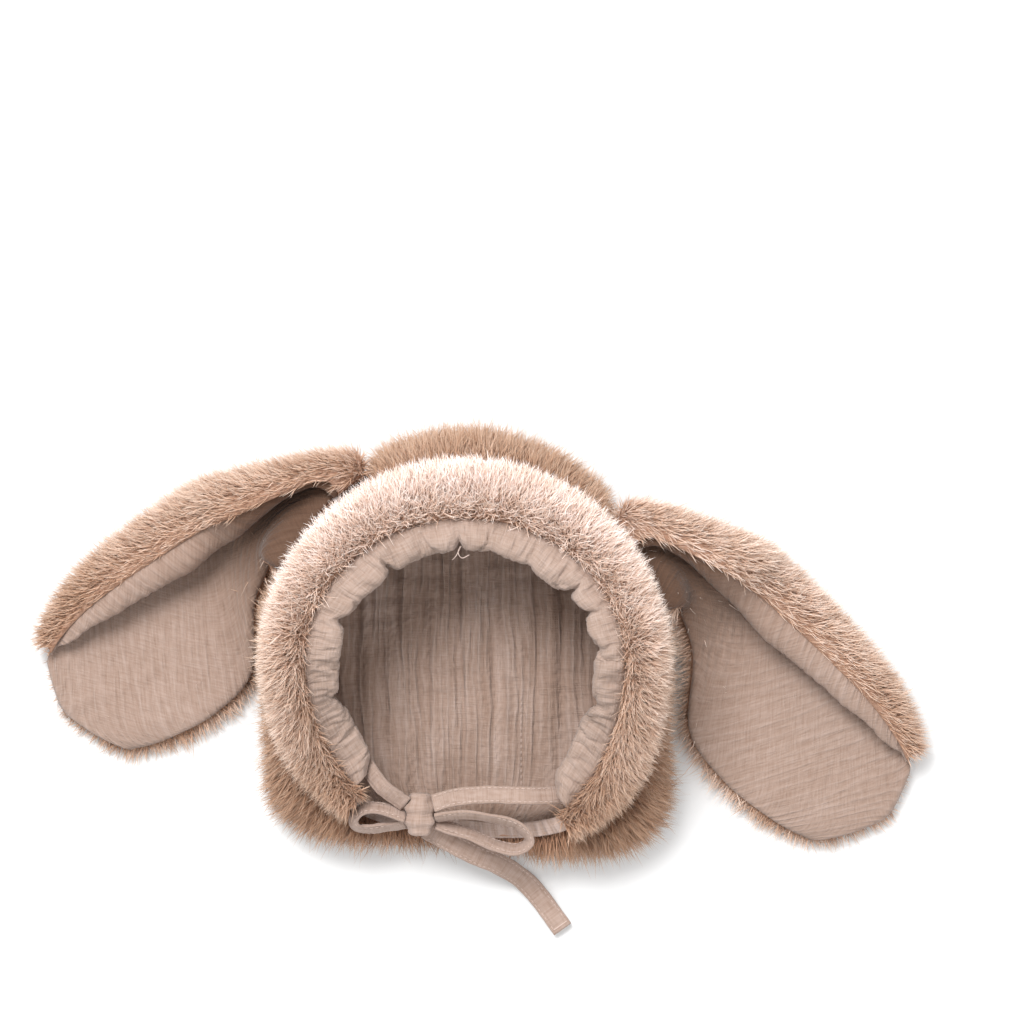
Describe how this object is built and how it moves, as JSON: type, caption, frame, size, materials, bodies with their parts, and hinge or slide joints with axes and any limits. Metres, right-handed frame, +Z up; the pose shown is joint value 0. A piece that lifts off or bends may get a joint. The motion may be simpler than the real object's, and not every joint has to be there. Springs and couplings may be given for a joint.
{
  "type": "baby bonnet with rabbit ears",
  "caption": "Faux fur baby bonnet with long lop rabbit ears, gathered muslin lining, padded face binding and a tie bow, lying on its back with the face opening up.",
  "frame": {"origin": "middle of the fur that is pressed flat under the back of the head", "axes": "+Z up out of the face opening, +Y towards the forehead, +X towards the ear on the right from above"},
  "size_m": [0.4398, 0.2513, 0.0901],
  "materials": {
    "fur": "deep beige brown faux fur with pale tips",
    "muslin": "crinkled cotton muslin in pinkish taupe",
    "tie": "folded muslin tape with edge stitching"
  },
  "bodies": {
    "root": {"crown_fur": "fur", "front_band_fur": "fur", "ear_left_fur": "fur", "ear_right_fur": "fur", "crown_lining": "muslin", "face_binding": "muslin", "neck_band": "muslin", "ear_left_lining": "muslin", "ear_right_lining": "muslin", "tie_left": "tie", "tie_right": "tie", "bow_knot": "tie", "bow_loop_left": "tie", "bow_loop_right": "tie", "tie_tail": "tie"}
  },
  "joints": []
}
